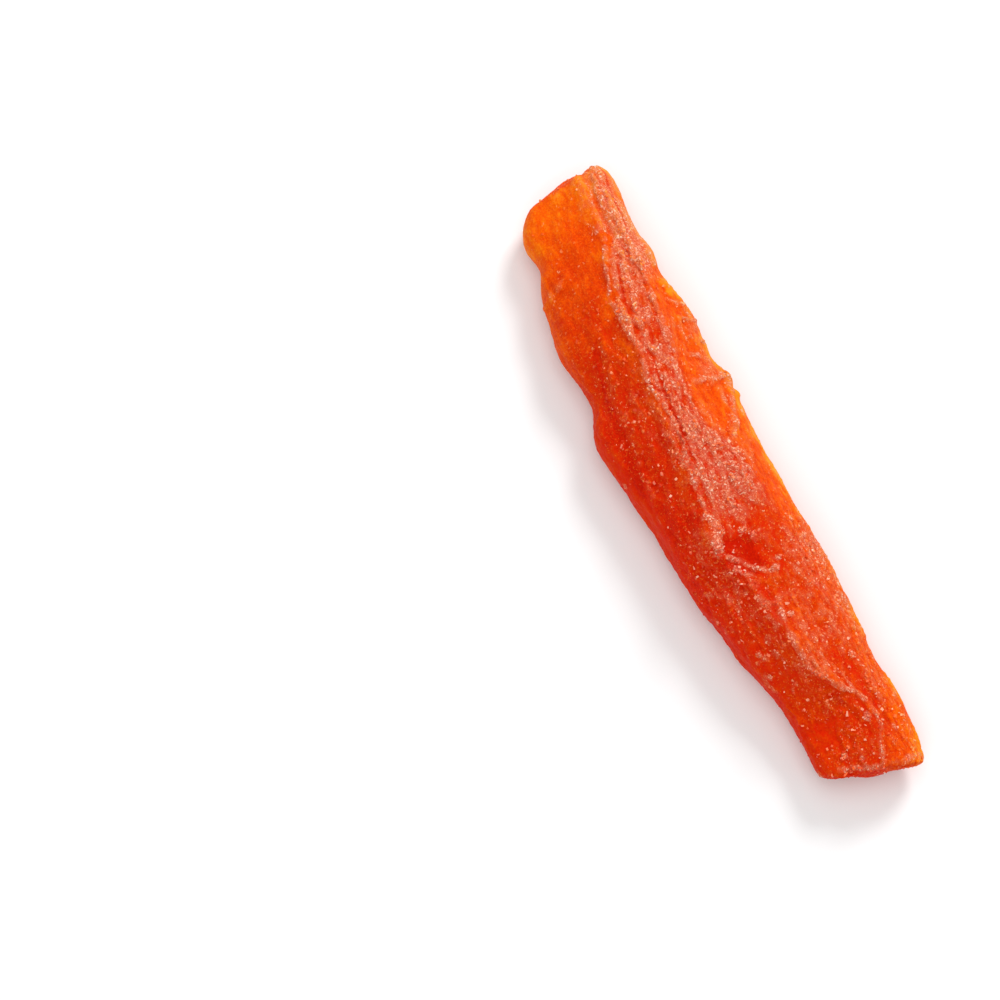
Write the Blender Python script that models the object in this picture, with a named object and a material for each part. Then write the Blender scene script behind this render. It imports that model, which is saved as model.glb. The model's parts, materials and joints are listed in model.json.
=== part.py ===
"""A candied, dried papaya spear that lies on its flat underside, modelled as one solid.

The spear is lofted: rails run along it and give the place of each edge, rings of points
are drawn through the rails, and the finished skin then gets its furrows, knobs and dents.
+X runs from the slanted tip to the cut foot, +Y to the steep outer slope, +Z up.
"""

import math

import bmesh
import bpy
from mathutils import Vector, noise

MM = 0.001

# Driving sizes, in millimetres
LENGTH = 100.4
RING_PITCH = 1.25  # distance between two rings along the spear
TIP_ROUNDING = 1.9  # how softly the tip's rim turns into its end face
FOOT_ROUNDING = 1.0  # the foot is a fresher, sharper cut
TIP_SKEW = -0.13  # how far the tip's end runs forward for each mm across
FOOT_SKEW = 0.30
TIP_LEAN = 0.10  # how far the tip's end runs forward for each mm of height
FOOT_LEAN = 0.16
TIP_CURL = 1.6  # how far the tip's underside lifts off what the spear lies on
FOOT_CURL = 0.7
CURL_REACH = 15.0  # length of each lifted stretch
LEAN_CENTRE = (2.0, 5.0)  # across and height about which the end faces skew and lean
TIP_BULGE = 0.7  # how far the middle of each end face stands out
FOOT_BULGE = 0.5
CAP_RINGS = (0.78, 0.54, 0.3)  # sizes of the rings that fill an end face
UNDERCUT_LEFT = 1.6  # how far the flanks draw in below their widest line
UNDERCUT_RIGHT = 2.2
BROW_INSET = 0.9

# Rails: (along, across, height) where an edge changes course, in millimetres
LEFT_FLANK = [
    (-50, -5.5, 4.2),
    (-45, -7.8, 4.2),
    (-40, -7.2, 4.2),
    (-36, -8.8, 4.2),
    (-26, -10.5, 4.0),
    (-17, -9.6, 4.0),
    (-11, -11.9, 3.8),
    (3, -10.3, 4.0),
    (16, -9.2, 4.0),
    (27, -7.5, 4.0),
    (36, -5.2, 4.0),
    (50, -5.1, 3.6),
]
LEFT_BROW_HEIGHT = [(-50, 6.4), (-30, 7.6), (-8, 7.4), (12, 7.8), (32, 7.4), (50, 6.2)]
RIDGE = [
    (-50, 4.7, 8.6),
    (-41, 3.6, 10.4),
    (-30, 0.7, 11.4),
    (-20, -0.5, 12.0),
    (-9, -1.6, 12.4),
    (4, -2.7, 12.4),
    (11, -3.8, 12.3),
    (18, -1.9, 11.6),
    (28, 0.2, 11.4),
    (35, 2.2, 10.8),
    (40, 5.2, 9.8),
    (45, 5.5, 8.9),
    (50, 3.4, 8.2),
]
SHOULDER = [
    (-50, 7.4, 8.0),
    (-43, 6.1, 9.8),
    (-34, 6.7, 10.4),
    (-24, 5.6, 11.2),
    (-10, 2.4, 12.2),
    (-2, 4.2, 11.9),
    (8, 6.9, 11.0),
    (22, 7.6, 9.9),
    (36, 8.3, 8.6),
    (50, 9.3, 6.8),
]
RIGHT_FLANK = [
    (-50, 10.2, 4.4),
    (-46, 10.9, 4.4),
    (-39, 9.9, 4.6),
    (-30, 10.6, 4.8),
    (-22, 11.8, 4.8),
    (-17, 11.5, 4.8),
    (-9, 12.4, 4.8),
    (6, 12.1, 4.6),
    (18, 12.4, 4.6),
    (34, 11.9, 4.2),
    (43, 12.4, 3.8),
    (50, 11.2, 3.6),
]

# Points on each stretch of a ring, from the left foot up over the ridge and round
FLANK_POINTS = 3
BROW_POINTS = 3
CUT_FACE_POINTS = 12
CREST_POINTS = 6
SLOPE_POINTS = 9
RIGHT_FLANK_POINTS = 3
UNDERSIDE_POINTS = 12

# Roundings of a ring: how strongly each corner is eased, from 0, left sharp, to 1
SOFT_CORNER = 0.85
RIDGE_CORNER = 0.16
SHOULDER_CORNER = 0.35
SMOOTHING_PASSES = 3

# Single marks on the skin: (along, across, half length, half width, height), millimetres
MARKS = [
    (-35.0, 10.2, 1.7, 1.7, 0.80),  # crumb dried on to the right edge
    (-31.0, 9.4, 1.2, 1.4, -0.35),  # nick below that crumb
    (-44.0, 7.0, 4.5, 1.3, 0.35),  # rounded lobe beside the tip's groove
    (11.5, -3.6, 2.6, 1.5, 0.75),  # knob where the ridge breaks off
    (14.5, -0.6, 3.6, 2.6, -1.15),  # hollow beside the knob
    (6.0, 1.6, 5.0, 2.2, -0.45),  # dip in the crest above the hollow
    (-7.0, 8.0, 3.0, 2.4, 0.35),  # swelling on the outer slope
    (24.0, 4.2, 6.0, 2.2, 0.40),
    (30.0, -2.2, 5.5, 2.0, -0.35),  # flat trough left of the lower ridge
    (40.5, 0.2, 5.0, 3.0, -0.45),
    (36.0, 5.0, 6.0, 1.1, -0.55),  # furrow right of the lower ridge
    (-46.0, -1.8, 5.0, 4.0, -0.25),
]

# Lines pressed into or raised on the skin: points (along, across), half width, height
LINES = [
    ([(-53, 5.7), (-45, 4.9), (-38, 4.6)], 0.75, -0.75),  # groove that splits the tip
    ([(12, -5.8), (15.5, -3.2), (18.5, -0.6), (18.8, 2.6)], 0.9, 0.60),  # lip of the hollow
    ([(-37.5, -7.2), (-40.5, -3.4), (-40.2, -1.6)], 0.7, 0.30),  # edge of the torn skin
    ([(-23, -5.2), (-15, -5.9), (-8, -7.4), (0, -7.2)], 1.1, -0.28),  # crease on the cut face
    ([(-48, 4.5), (-41, 3.6), (-30, 0.7), (-20, -0.5)], 0.7, 0.28),  # raised crest of the ridge
    ([(-20, -0.5), (-9, -1.6), (4, -2.7), (11, -3.8)], 0.7, 0.32),
    ([(-43, 6.3), (-34, 6.9), (-24, 5.8), (-12, 2.8)], 0.7, 0.26),  # crest of the shoulder
    ([(20, -1.4), (28, 0.0), (33, 1.2), (38, 3.6)], 0.8, 0.40),  # crest of the lower ridge
    ([(22, 4.0), (31, 6.2), (42, 8.0), (50, 8.8)], 0.9, -0.35),
    ([(-24, 8.6), (-23.4, 11.0)], 0.8, 0.40),  # wrinkles across the outer slope
    ([(-18.6, 7.8), (-18.0, 11.0)], 0.7, 0.45),
    ([(-13.6, 7.4), (-13.0, 11.4)], 0.8, 0.50),
    ([(2, 7.2), (-3, 9.0), (-7, 11.0)], 0.7, 0.30),
]

# Shrinkage wrinkles all over: (length, width, depth) of each layer, in millimetres
WRINKLE_LAYERS = [(16.0, 4.0, 0.42), (6.0, 2.4, 0.26)]
WRINKLE_SEED = Vector((3.7, 11.2, 5.1))
FLAT_HEIGHT = 0.6  # below this the skin keeps flat, so that the spear rests well
FULL_RELIEF_HEIGHT = 3.6  # from here up it has its whole relief

FRUIT_COLOUR = (0.78, 0.085, 0.012, 1.0)
FRUIT_ROUGHNESS = 0.42


def clear_scene():
    """Remove the objects that the file opens with."""
    for obj in list(bpy.data.objects):
        bpy.data.objects.remove(obj)


def rail_at(rail, along):
    """The values of a rail at a distance along the spear, on a smooth curve through its points."""
    last = len(rail) - 2
    start = next((i for i in range(last) if along < rail[i + 1][0]), last)
    before, here = rail[max(start - 1, 0)], rail[start]
    there, after = rail[start + 1], rail[min(start + 2, last + 1)]
    span = there[0] - here[0]
    t = min(max((along - here[0]) / span, 0.0), 1.0)
    values = []
    for axis in range(1, len(here)):
        slope_here = (there[axis] - before[axis]) / (there[0] - before[0]) * span
        slope_there = (after[axis] - here[axis]) / (after[0] - here[0]) * span
        values.append(
            (2 * t**3 - 3 * t**2 + 1) * here[axis]
            + (t**3 - 2 * t**2 + t) * slope_here
            + (3 * t**2 - 2 * t**3) * there[axis]
            + (t**3 - t**2) * slope_there
        )
    return values


def ease(t):
    """0 below 0, 1 above 1, and a smooth rise between them."""
    t = min(max(t, 0.0), 1.0)
    return t * t * (3 - 2 * t)


def underside_height(along):
    """The underside is flat but curls up towards both ends, as a spear dries."""
    tip = ease((-LENGTH / 2 + CURL_REACH - along) / CURL_REACH)
    foot = ease((along - LENGTH / 2 + CURL_REACH) / CURL_REACH)
    return TIP_CURL * tip**2 + FOOT_CURL * foot**2


def ring_corners(along):
    """The corners of one ring as (across, height), and how strongly each is rounded."""
    left, left_z = rail_at(LEFT_FLANK, along)
    right, right_z = rail_at(RIGHT_FLANK, along)
    (brow_z,) = rail_at(LEFT_BROW_HEIGHT, along)
    ground = underside_height(along)
    return [
        ((left + UNDERCUT_LEFT, ground), SOFT_CORNER),
        ((left, left_z), SOFT_CORNER),
        ((left + BROW_INSET, brow_z), SOFT_CORNER),
        (tuple(rail_at(RIDGE, along)), RIDGE_CORNER),
        (tuple(rail_at(SHOULDER, along)), SHOULDER_CORNER),
        ((right, right_z), SOFT_CORNER),
        ((right - UNDERCUT_RIGHT, ground), SOFT_CORNER),
    ]


def ring_outline(along):
    """The closed outline of the spear at one place: the corners joined, divided and eased."""
    corners = ring_corners(along)
    counts = [
        FLANK_POINTS,
        BROW_POINTS,
        CUT_FACE_POINTS,
        CREST_POINTS,
        SLOPE_POINTS,
        RIGHT_FLANK_POINTS,
        UNDERSIDE_POINTS,
    ]
    points, easing = [], []
    for i, count in enumerate(counts):
        (y0, z0), rounding = corners[i]
        (y1, z1), _ = corners[(i + 1) % len(corners)]
        for step in range(count):
            t = step / count
            points.append((y0 + (y1 - y0) * t, z0 + (z1 - z0) * t))
            easing.append(rounding if step == 0 else SOFT_CORNER)
    for _ in range(SMOOTHING_PASSES):
        eased = []
        for i, (y, z) in enumerate(points):
            before, after = points[i - 1], points[(i + 1) % len(points)]
            share = easing[i]
            eased.append(
                (
                    y + share * ((before[0] + after[0]) / 2 - y),
                    z + share * ((before[1] + after[1]) / 2 - z),
                )
            )
        points = eased
    return points


def end_rounding(gap, radius):
    """How far a ring draws in when it is this near to an end face."""
    if gap >= radius:
        return 0.0
    return radius - math.sqrt(radius**2 - (radius - gap) ** 2)


def drawn_in(outline, inset):
    """The outline moved inwards by a distance, towards its middle."""
    middle_y = sum(y for y, _ in outline) / len(outline)
    middle_z = sum(z for _, z in outline) / len(outline)
    moved = []
    for y, z in outline:
        reach = math.hypot(y - middle_y, z - middle_z)
        keep = 1 - inset / reach
        moved.append((middle_y + (y - middle_y) * keep, middle_z + (z - middle_z) * keep))
    return moved


def ring_point(along, y, z):
    """A ring isn't square to the spear near its ends: it leans and skews with the end face."""
    towards_tip = ease((-along - LENGTH / 2 + CURL_REACH) / CURL_REACH)
    towards_foot = ease((along - LENGTH / 2 + CURL_REACH) / CURL_REACH)
    skew = TIP_SKEW * towards_tip + FOOT_SKEW * towards_foot
    lean = TIP_LEAN * towards_tip + FOOT_LEAN * towards_foot
    x = along + skew * (y - LEAN_CENTRE[0]) + lean * (z - LEAN_CENTRE[1])
    return Vector((x, y, z)) * MM


def ring_places():
    """Distances along the spear at which a ring is drawn, closer together round each rim."""
    half = LENGTH / 2
    tip_rim = [TIP_ROUNDING * share for share in (0.0, 0.14, 0.45)]
    foot_rim = [FOOT_ROUNDING * share for share in (0.4, 0.0)]
    first, last = TIP_ROUNDING, LENGTH - FOOT_ROUNDING
    count = round((last - first) / RING_PITCH)
    body = [first + (last - first) * i / count for i in range(count + 1)]
    gaps = tip_rim + body + [LENGTH - gap for gap in foot_rim]
    return [gap - half for gap in gaps]


def join_rings(bm, first, second):
    """Join two rings of equal length by a band of quads."""
    count = len(first)
    for i in range(count):
        j = (i + 1) % count
        bm.faces.new((first[i], first[j], second[j], second[i]))


def close_end(bm, rim, bulge):
    """Fill an end with rings that shrink towards its middle, which stands out by the bulge."""
    middle = sum((v.co for v in rim), Vector()) / len(rim)
    outwards = Vector((bulge * MM, 0, 0))
    ring = rim
    for share in CAP_RINGS:
        rise = outwards * (1 - share)
        inner = [bm.verts.new(middle + (v.co - middle) * share + rise) for v in rim]
        join_rings(bm, ring, inner)
        ring = inner
    hub = bm.verts.new(middle + outwards)
    for i, v in enumerate(ring):
        bm.faces.new((v, ring[(i + 1) % len(ring)], hub))


def distance_to_line(point, line):
    """The shortest distance from a point (along, across) to a line through points."""
    nearest = math.inf
    for (x0, y0), (x1, y1) in zip(line, line[1:]):
        dx, dy = x1 - x0, y1 - y0
        t = ((point[0] - x0) * dx + (point[1] - y0) * dy) / (dx * dx + dy * dy)
        t = min(max(t, 0.0), 1.0)
        gap = math.hypot(point[0] - x0 - t * dx, point[1] - y0 - t * dy)
        nearest = min(nearest, gap)
    return nearest


def relief(point):
    """Height of the skin's relief at a point, in millimetres, from marks, lines and wrinkles."""
    x, y, z = point / MM
    height = 0.0
    for along, across, half_length, half_width, size in MARKS:
        height += size * math.exp(
            -(((x - along) / half_length) ** 2) - ((y - across) / half_width) ** 2
        )
    for line, half_width, size in LINES:
        height += size * math.exp(-((distance_to_line((x, y), line) / half_width) ** 2))
    for length, width, depth in WRINKLE_LAYERS:
        place = Vector((x / length, y / width, z / width)) + WRINKLE_SEED
        height += depth * noise.noise(place)
    return height


def press_relief(bm):
    """Move the skin in or out by its relief. The underside, which rests, stays as it is."""
    bm.normal_update()
    band = FULL_RELIEF_HEIGHT - FLAT_HEIGHT
    moves = []
    for v in bm.verts:
        share = ease((v.co.z / MM - FLAT_HEIGHT) / band)
        moves.append(v.normal * relief(v.co) * share * MM)
    for v, move in zip(bm.verts, moves):
        v.co += move


def rest_on_origin(bm):
    """Put the origin at the middle of the spear's box, on what it lies on."""
    lowest = min(v.co.z for v in bm.verts)
    middle_x = (min(v.co.x for v in bm.verts) + max(v.co.x for v in bm.verts)) / 2
    middle_y = (min(v.co.y for v in bm.verts) + max(v.co.y for v in bm.verts)) / 2
    for v in bm.verts:
        v.co -= Vector((middle_x, middle_y, lowest))


def candied_fruit():
    """The material: translucent orange-red fruit with a waxy surface."""
    material = bpy.data.materials.new("candied_fruit")
    material.use_nodes = True
    shader = material.node_tree.nodes["Principled BSDF"]
    shader.inputs["Base Color"].default_value = FRUIT_COLOUR
    shader.inputs["Roughness"].default_value = FRUIT_ROUGHNESS
    shader.inputs["Metallic"].default_value = 0.0
    return material


def papaya_spear():
    """The whole spear as one closed mesh."""
    bm = bmesh.new()
    half = LENGTH / 2
    rings = []
    for along in ring_places():
        tip_inset = end_rounding(along + half, TIP_ROUNDING)
        foot_inset = end_rounding(half - along, FOOT_ROUNDING)
        outline = drawn_in(ring_outline(along), tip_inset + foot_inset)
        rings.append([bm.verts.new(ring_point(along, y, z)) for y, z in outline])
    for first, second in zip(rings, rings[1:]):
        join_rings(bm, first, second)
    close_end(bm, list(reversed(rings[0])), -TIP_BULGE)
    close_end(bm, rings[-1], FOOT_BULGE)
    bmesh.ops.recalc_face_normals(bm, faces=bm.faces)
    press_relief(bm)
    rest_on_origin(bm)
    mesh = bpy.data.meshes.new("papaya_spear")
    bm.to_mesh(mesh)
    bm.free()
    mesh.shade_smooth()
    mesh.materials.append(candied_fruit())
    spear = bpy.data.objects.new("papaya_spear", mesh)
    bpy.context.scene.collection.objects.link(spear)
    return spear


clear_scene()
papaya_spear()
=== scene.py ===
# %% [markdown]
# # One spear of candied papaya
#
# The real thing is a strip of ripe papaya wall, cut by hand, soaked in syrup, dried until
# it shrank and wrinkled, and tossed in fine sugar. Its flesh is waxy and lets light
# through, so thin edges shine orange while the thick middle stays a deep red. A pale bloom
# of sugar sits along the crest, and single crystals sit everywhere.
#
# The solid is already made, and this script dresses it. It could be painted as it stands,
# but its facets would show. So a finer skin is grown from a copy of it, the skin is
# wrinkled, and real crystals are strewn on it.

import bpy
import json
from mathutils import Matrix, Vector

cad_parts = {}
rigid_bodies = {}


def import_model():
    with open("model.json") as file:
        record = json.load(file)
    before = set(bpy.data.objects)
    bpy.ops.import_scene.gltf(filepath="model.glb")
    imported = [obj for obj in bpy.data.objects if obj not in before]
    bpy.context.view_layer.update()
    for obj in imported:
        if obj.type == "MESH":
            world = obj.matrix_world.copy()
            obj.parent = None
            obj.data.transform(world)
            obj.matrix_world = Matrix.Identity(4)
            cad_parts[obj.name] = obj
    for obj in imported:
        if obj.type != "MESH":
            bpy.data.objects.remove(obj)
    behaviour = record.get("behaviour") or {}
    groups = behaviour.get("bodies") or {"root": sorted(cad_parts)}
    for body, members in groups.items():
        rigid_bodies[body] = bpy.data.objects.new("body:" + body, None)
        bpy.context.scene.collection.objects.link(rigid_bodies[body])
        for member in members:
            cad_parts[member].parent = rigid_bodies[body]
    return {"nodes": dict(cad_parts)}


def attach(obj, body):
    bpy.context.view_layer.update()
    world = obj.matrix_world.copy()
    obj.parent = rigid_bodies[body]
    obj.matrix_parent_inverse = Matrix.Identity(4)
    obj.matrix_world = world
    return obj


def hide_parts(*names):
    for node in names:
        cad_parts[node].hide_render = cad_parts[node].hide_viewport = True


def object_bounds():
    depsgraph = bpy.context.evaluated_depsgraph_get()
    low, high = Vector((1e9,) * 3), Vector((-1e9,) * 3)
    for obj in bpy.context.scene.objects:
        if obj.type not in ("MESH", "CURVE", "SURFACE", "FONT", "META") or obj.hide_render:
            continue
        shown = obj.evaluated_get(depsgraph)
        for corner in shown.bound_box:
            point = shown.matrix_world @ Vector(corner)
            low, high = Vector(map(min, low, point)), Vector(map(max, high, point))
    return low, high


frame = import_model()
cad_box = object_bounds()
print("solid's box, mm:", [[round(c * 1000, 1) for c in corner] for corner in cad_box])

# %% Modules and units
import json
import math

import bpy
import numpy as np
from mathutils import Vector, noise
from mathutils.bvhtree import BVHTree

MM = 0.001


# %% Small tools
def deselect_all():
    """Operators act on all that is selected, so each step starts from nothing."""
    for obj in bpy.context.selected_objects:
        obj.select_set(False)


def work_on(obj):
    """Make this object the only selected one, and the active one."""
    deselect_all()
    obj.select_set(True)
    bpy.context.view_layer.objects.active = obj


def apply_modifier(obj, kind, **settings):
    """Add a modifier, set it and apply it, as its Apply button would."""
    work_on(obj)
    bpy.ops.object.modifier_add(type=kind)
    modifier = obj.modifiers[-1]
    for name, value in settings.items():
        setattr(modifier, name, value)
    bpy.ops.object.modifier_apply(modifier=modifier.name)


def add_object(operator, name, **settings):
    """Run an operator that adds an object, and name what it added."""
    deselect_all()
    operator(**settings)
    bpy.context.object.name = name
    return bpy.context.object


def set_inputs(node, values):
    """Give some of a node's inputs constant values."""
    for name, value in values.items():
        node.inputs[name].default_value = value


# %% [markdown]
# ## Camera
#
# The spear lies down, so the camera looks at it steeply from above and sees its crest and
# both slopes. A long lens keeps its two ends nearly the same size. The camera could be
# turned to face the spear, but moving it sideways instead leaves the spear off centre and
# keeps every line of the picture true.

# %% Place the camera
ELEVATION = math.radians(75.0)
AZIMUTH = math.radians(64.187)
LENS = 100.0  # mm, on a sensor 36 mm wide
SENSOR = 36.0
DISTANCE = 412 * MM
SPEAR_MIDDLE = Vector((0.65, 2.9, 6.0)) * MM
MIDDLE_IN_PICTURE = (0.7205, 0.4745)  # from the left and from the top, as shares of its side

towards_camera = Vector(
    (
        math.sin(AZIMUTH) * math.cos(ELEVATION),
        -math.cos(AZIMUTH) * math.cos(ELEVATION),
        math.sin(ELEVATION),
    )
)
picture_right = Vector((math.cos(AZIMUTH), math.sin(AZIMUTH), 0))
picture_up = towards_camera.cross(picture_right)
picture_side = SENSOR / LENS * DISTANCE  # how much the camera sees across at the spear

camera = add_object(bpy.ops.object.camera_add, "camera")
camera.data.lens = LENS
camera.data.sensor_width = SENSOR
camera.location = (
    SPEAR_MIDDLE
    + towards_camera * DISTANCE
    - picture_right * (MIDDLE_IN_PICTURE[0] - 0.5) * picture_side
    + picture_up * (MIDDLE_IN_PICTURE[1] - 0.5) * picture_side
)
camera.rotation_mode = "QUATERNION"
camera.rotation_quaternion = (-towards_camera).to_track_quat("-Z", "Y")
bpy.context.scene.camera = camera
print("camera at, mm:", [round(c * 1000) for c in camera.location])

# %% [markdown]
# ## Table and light
#
# Candied fruit is shown on white, in the light of large softboxes. The strongest one stands
# on the side of the outer slope, so that this slope shines and the cut face stays deeper
# in colour. The others only fill. The Standard view keeps orange as strong as it is, where
# a filmic one would wash it out.

# %% White table
TABLE_SIDE = 4.0
table = add_object(bpy.ops.mesh.primitive_plane_add, "table", size=TABLE_SIDE)
paper = bpy.data.materials.new("white_table")
paper.use_nodes = True
matt_white = {"Base Color": (0.9, 0.9, 0.9, 1), "Roughness": 0.9, "Specular IOR Level": 0.1}
set_inputs(paper.node_tree.nodes["Principled BSDF"], matt_white)
table.data.materials.append(paper)


# %% Softboxes
def softbox(name, place, side, power):
    """A square light that looks at the spear's middle."""
    light = add_object(bpy.ops.object.light_add, name, type="AREA", location=place)
    light.data.shape = "SQUARE"
    light.data.size = side
    light.data.energy = power
    light.rotation_mode = "QUATERNION"
    light.rotation_quaternion = (SPEAR_MIDDLE - Vector(place)).to_track_quat("-Z", "Y")
    return light


# places and sides in metres, powers in watts
softbox("key", (-0.45, 0.62, 0.60), 0.30, 5.3)
softbox("front_fill", (0.55, -0.55, 0.75), 0.8, 2.4)
softbox("overhead", (-0.1, 0.0, 1.0), 0.7, 2.0)

room = bpy.data.worlds.new("room")
room.use_nodes = True
set_inputs(room.node_tree.nodes["Background"], {"Color": (1, 1, 1, 1), "Strength": 0.60})
bpy.context.scene.world = room
bpy.context.scene.view_settings.view_transform = "Standard"

# %% [markdown]
# ## A skin over the solid
#
# The solid's own mesh is loose triangles, so it can't be smoothed as it is. A copy of it is
# merged into one surface, its triangles are paired into quads, and two rounds of
# subdivision give points every 0.3 mm. That is fine enough to carry wrinkles and pores as
# real shape. A remesh would do too, but it would round off the crest.

# %% Copy and merge the solid
WELD = 0.001 * MM
PAIR_ANGLE = math.radians(50)

solid = frame["nodes"]["papaya_spear"]
flesh = bpy.data.objects.new("papaya_flesh", solid.data.copy())
bpy.context.scene.collection.objects.link(flesh)
flesh.data.materials.clear()
work_on(flesh)
bpy.ops.mesh.customdata_custom_splitnormals_clear()
bpy.ops.object.mode_set(mode="EDIT")
bpy.ops.mesh.select_all(action="SELECT")
bpy.ops.mesh.remove_doubles(threshold=WELD)
bpy.ops.mesh.tris_convert_to_quads(face_threshold=PAIR_ANGLE, shape_threshold=PAIR_ANGLE)
bpy.ops.object.mode_set(mode="OBJECT")
print("merged skin:", len(flesh.data.vertices), "points,", len(flesh.data.polygons), "faces")


# %% Reading and writing what the skin's points carry
def positions(obj):
    """The places of an object's points, as an array in millimetres."""
    values = np.empty(len(obj.data.vertices) * 3)
    obj.data.vertices.foreach_get("co", values)
    return values.reshape(-1, 3) / MM


def directions(obj):
    """The ways that an object's points face, as an array."""
    values = np.empty(len(obj.data.vertices) * 3)
    obj.data.vertices.foreach_get("normal", values)
    return values.reshape(-1, 3)


def store(obj, name, values):
    """Keep a number for each point under a name that materials can read."""
    layer = obj.data.attributes.get(name)
    if layer is None:
        layer = obj.data.attributes.new(name, "FLOAT", "POINT")
    layer.data.foreach_set("value", np.ascontiguousarray(values, dtype=np.float32))


def read(obj, name):
    """The numbers kept under a name, as an array."""
    values = np.empty(len(obj.data.vertices), dtype=np.float32)
    obj.data.attributes[name].data.foreach_get("value", values)
    return values.astype(float)


def rise(values, low, high):
    """0 below low, 1 above high, and smooth between them."""
    share = np.clip((values - low) / (high - low), 0, 1)
    return share * share * (3 - 2 * share)


# %% [markdown]
# ## How much light comes through
#
# Light passes through thin fruit and is lost in thick fruit. That could be left to the
# renderer, but then the colour would be gone wherever the piece is used without it. So it
# is measured once and painted into the colour as light: rays go from each point into the
# fruit, and the farther each travels before it leaves, the less light it would have let in.

# %% Measure the light that comes through
RAYS = 28
SPREAD = 1.3  # how far the rays fan out from straight in
REACH = 40.0  # mm, past which no light is left
START = 0.05  # mm below the skin, so that a ray doesn't meet its own face
FADING = 2.6  # mm in which light falls to about a third


def fan(count):
    """Directions spread evenly round a circle and from its middle to its rim."""
    golden = math.pi * (3 - math.sqrt(5))
    return [(math.sqrt((i + 0.5) / count), i * golden) for i in range(count)]


def light_through(obj):
    """For each point, the mean share of light that reaches it through the piece."""
    surface = BVHTree.FromObject(obj, bpy.context.evaluated_depsgraph_get())
    rays = fan(RAYS)
    shares = []
    for point in obj.data.vertices:
        inwards = -point.normal
        side = inwards.orthogonal().normalized()
        other = inwards.cross(side)
        total = 0.0
        for radius, turn in rays:
            sideways = side * math.cos(turn) + other * math.sin(turn)
            ray = (inwards + sideways * radius * SPREAD).normalized()
            hit = surface.ray_cast(point.co + ray * START * MM, ray, REACH * MM)
            length = REACH if hit[3] is None else hit[3] / MM
            total += math.exp(-length / FADING)
        shares.append(total / RAYS)
    return np.array(shares)


through = light_through(flesh)
store(flesh, "through", through)
spread = through.min(), np.median(through), through.max()
print("light through: least %.3f, median %.3f, most %.3f" % spread)

# %% Subdivide the skin
SUBDIVISIONS = 2
apply_modifier(flesh, "SUBSURF", levels=SUBDIVISIONS, render_levels=SUBDIVISIONS)
print("fine skin:", len(flesh.data.vertices), "points")

# %% [markdown]
# ## Where things are on the skin
#
# The pale crests, wrinkles and cracks follow lines that are this spear's own. Each is a
# short list of places, in millimetres. Sugar lumps and patches of bloom are places with a
# size. From these, every point of the skin gets five numbers: `seam`, how much crust
# sits on it; `bloom`, how much fine sugar; `grit`, how many single crystals; `lump`, where
# crystals cling together; and `glow`, how far its colour goes from deep red to orange,
# with painted light and shade in it.

# %% The two long edges, from the tip on
CREST = [
    (-50.9, 5.9, 6.8),
    (-44.9, 4.1, 9.4),
    (-40.3, 3.7, 10.0),
    (-35.1, 1.4, 11.2),
    (-29.4, -0.6, 11.2),
    (-19.9, -0.4, 12.2),
    (-14.7, -1.5, 12.4),
    (-9.6, -0.9, 12.6),
    (-5.0, -1.0, 12.6),
    (-1.5, -2.1, 12.7),
    (3.6, -2.5, 12.4),
    (8.1, -2.8, 12.3),
]
SHOULDER = [
    (-49.6, 7.2, 7.6),
    (-43.4, 6.2, 9.4),
    (-38.5, 6.2, 9.7),
    (-33.1, 6.2, 10.5),
    (-28.4, 5.5, 10.8),
    (-19.1, 4.4, 11.2),
    (-9.5, 2.5, 11.8),
]

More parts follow.
